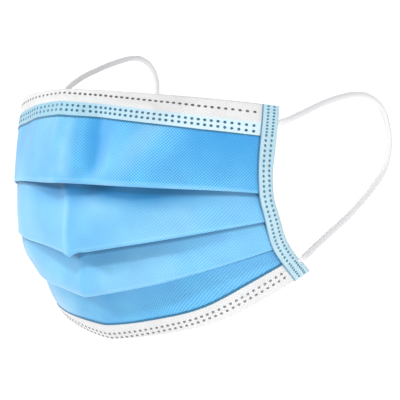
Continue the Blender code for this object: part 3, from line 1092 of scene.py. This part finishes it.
def elastic_material():
    """White knitted elastic: fine slanting stitches round a soft cord."""
    material, tree, shader = new_material(
        "white elastic", {"Roughness": 0.85, "Sheen Weight": 0.3}
    )
    place = add_node(tree, "ShaderNodeUVMap", {}, uv_map="cord")
    stitches = add_node(
        tree,
        "ShaderNodeTexWave",
        {"Vector": place.outputs["UV"], "Scale": 2.5, "Distortion": 1.5},
        wave_type="BANDS",
        bands_direction="DIAGONAL",
    ).outputs["Fac"]
    shades = blend(tree, stitches, (0.69, 0.69, 0.71), (0.75, 0.75, 0.76))
    feed(shader.inputs["Base Color"], shades)
    bump = add_node(
        tree, "ShaderNodeBump", {"Distance": 0.00006, "Strength": 0.3, "Height": stitches}
    )
    feed(shader.inputs["Normal"], bump.outputs["Normal"])
    return material


TUCK_LENGTH = 0.0026


def tucked(path):
    """The path with both ends run on under the tape, along the lines of the cloth."""
    outside = math.copysign(1.0, path[0].x)
    first = path[0] + Vector((-0.40 * outside, -0.91, 0.11)) * TUCK_LENGTH
    last = path[-1] + Vector((-0.24 * outside, -0.84, -0.49)) * TUCK_LENGTH
    return [first, path[0].lerp(first, 0.5)] + path + [path[-1].lerp(last, 0.5), last]


def cord_tube(name, path, radius, material):
    """Round cord along a path, pressed flat at both ends."""
    sides = 16
    verts, faces, places = [], [], []
    up = Vector((1.0, 0.0, 0.0))
    for number, point in enumerate(path):
        ahead = path[min(number + 1, len(path) - 1)] - path[max(number - 1, 0)]
        side = up.cross(ahead).normalized()
        up = ahead.cross(side).normalized()
        from_end = min(number, len(path) - 1 - number)
        thick = radius * END_FLATTENING[min(from_end, len(END_FLATTENING) - 1)]
        for corner in range(sides):
            angle = 2 * math.pi * corner / sides
            offset = side * (math.cos(angle) * radius) + up * (math.sin(angle) * thick)
            verts.append(tuple(point + offset))
    for number in range(len(path) - 1):
        for corner in range(sides):
            after = (corner + 1) % sides
            ring, beyond = number * sides, (number + 1) * sides
            faces.append((ring + corner, ring + after, beyond + after, beyond + corner))
            around = (corner / sides, (corner + 1) / sides)
            places += [(around[0], number / 3), (around[1], number / 3)]
            places += [(around[1], (number + 1) / 3), (around[0], (number + 1) / 3)]
    faces.append(tuple(reversed(range(sides))))
    last = (len(path) - 1) * sides
    faces.append(tuple(range(last, last + sides)))
    places += [(0.0, 0.0)] * (2 * sides)
    piece = add_piece(name, verts, faces, material)
    layer = piece.data.uv_layers.new(name="cord")
    for loop, spot in zip(layer.data, places):
        loop.uv = spot
    piece.data.set_sharp_from_angle(angle=math.radians(60))
    return piece


elastic = elastic_material()
for side_name, route, length in (
    ("left", LEFT_LOOP_ROUTE, 0.170),
    ("right", RIGHT_LOOP_ROUTE, 0.174),
):
    path = smooth_route(route, LOOP_RINGS)
    loop = cord_tube(f"{side_name}_ear_elastic", tucked(path), LOOP_DIAMETER / 2, elastic)
    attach(loop, "root")
    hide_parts(f"ear_loop_{side_name}")

# A plain pale floor, well below the mask and rising far behind it in one smooth sweep. It
# shines a little itself, so that it stays evenly pale, and throws nothing on the mask.
FLOOR_HEIGHT = -0.36
FLOOR_REACH = 3.2
SWEEP_RADIUS = 1.6


def plain_backdrop():
    constants = {
        "Roughness": 0.9,
        "Specular IOR Level": 0.1,
        "Emission Color": (1.0, 1.0, 1.0),
        "Emission Strength": 0.72,
    }
    material, tree, shader = new_material("pale floor", constants)
    grain = add_node(tree, "ShaderNodeTexNoise", {"Scale": 3.0}).outputs["Fac"]
    shades = blend(tree, grain, (0.94, 0.94, 0.94), (0.96, 0.96, 0.96))
    feed(shader.inputs["Base Color"], shades)
    profile = [(0.0, 0.0), (FLOOR_REACH, 0.0)]
    for step in range(1, 17):
        angle = math.pi / 2 * step / 16
        reach = FLOOR_REACH + SWEEP_RADIUS * math.sin(angle)
        profile.append((reach, SWEEP_RADIUS * (1 - math.cos(angle))))
    profile.append((FLOOR_REACH + SWEEP_RADIUS, 4.0))
    sides = 48
    verts, faces = [(0.0, 0.0, FLOOR_HEIGHT)], []
    for reach, height in profile[1:]:
        for side in range(sides):
            angle = 2 * math.pi * side / sides
            x, y = reach * math.cos(angle), reach * math.sin(angle)
            verts.append((x, y, FLOOR_HEIGHT + height))
    for side in range(sides):
        after = (side + 1) % sides
        faces.append((0, 1 + side, 1 + after))
        for ring in range(len(profile) - 2):
            low, high = 1 + ring * sides, 1 + (ring + 1) * sides
            faces.append((low + side, high + side, high + after, low + after))
    floor = add_piece("floor", verts, faces, material)
    floor.visible_diffuse = False
    floor.visible_glossy = False
    floor.visible_shadow = False


plain_backdrop()

# Soft studio light: lamps on the mask's right, in front of it, by the near cheek and behind
# it, and white surroundings that are brighter below, as over a white table.
world = bpy.data.worlds.new("white surroundings")
bpy.context.scene.world = world
world.use_nodes = True
direction = add_node(world.node_tree, "ShaderNodeTexCoord", {})
upward = add_node(
    world.node_tree, "ShaderNodeSeparateXYZ", {0: direction.outputs["Generated"]}
)
background = world.node_tree.nodes["Background"]
feed(background.inputs["Color"], (1.0, 1.0, 1.0))
strength = ramp(world.node_tree, upward.outputs["Z"], 0.10, -0.55, 1.24, 0.36)
feed(background.inputs["Strength"], strength)


def soft_lamp(name, azimuth, elevation, distance, size, power):
    """Round lamp that looks at the mask. Azimuth 0 is straight in front of it."""
    around, up = math.radians(azimuth), math.radians(elevation)
    middle = Vector((0.0, 0.02, -0.045))
    level = distance * math.cos(up)
    away = Vector((level * math.sin(around), -level * math.cos(around), distance * math.sin(up)))
    light = bpy.data.lights.new(name, "AREA")
    light.shape = "DISK"
    light.size = size
    light.energy = power
    lamp = bpy.data.objects.new(name, light)
    lamp.location = middle + away
    lamp.rotation_euler = (-away).to_track_quat("-Z", "Y").to_euler()
    bpy.context.scene.collection.objects.link(lamp)


soft_lamp("key lamp", -58, 22, 1.1, 0.20, 7.8)
soft_lamp("front lamp", 22, 44, 1.1, 0.14, 5.0)
soft_lamp("cheek lamp", 70, -16, 1.1, 0.40, 5.2)
soft_lamp("back lamp", 195, 30, 1.1, 0.50, 7.0)

camera_data = bpy.data.cameras.new("camera")
camera_data.lens = 172.1
camera_data.sensor_width = 36.0
camera_data.clip_start = 0.05
camera = bpy.data.objects.new("camera", camera_data)
camera.location = (0.5653, -0.5229, -0.0140)
aim = Vector((0.0166, 0.0590, -0.0417))
camera.rotation_euler = (aim - camera.location).to_track_quat("-Z", "Y").to_euler()
bpy.context.scene.collection.objects.link(camera)
bpy.context.scene.camera = camera
bpy.context.scene.view_settings.view_transform = "Standard"

bpy.context.view_layer.update()
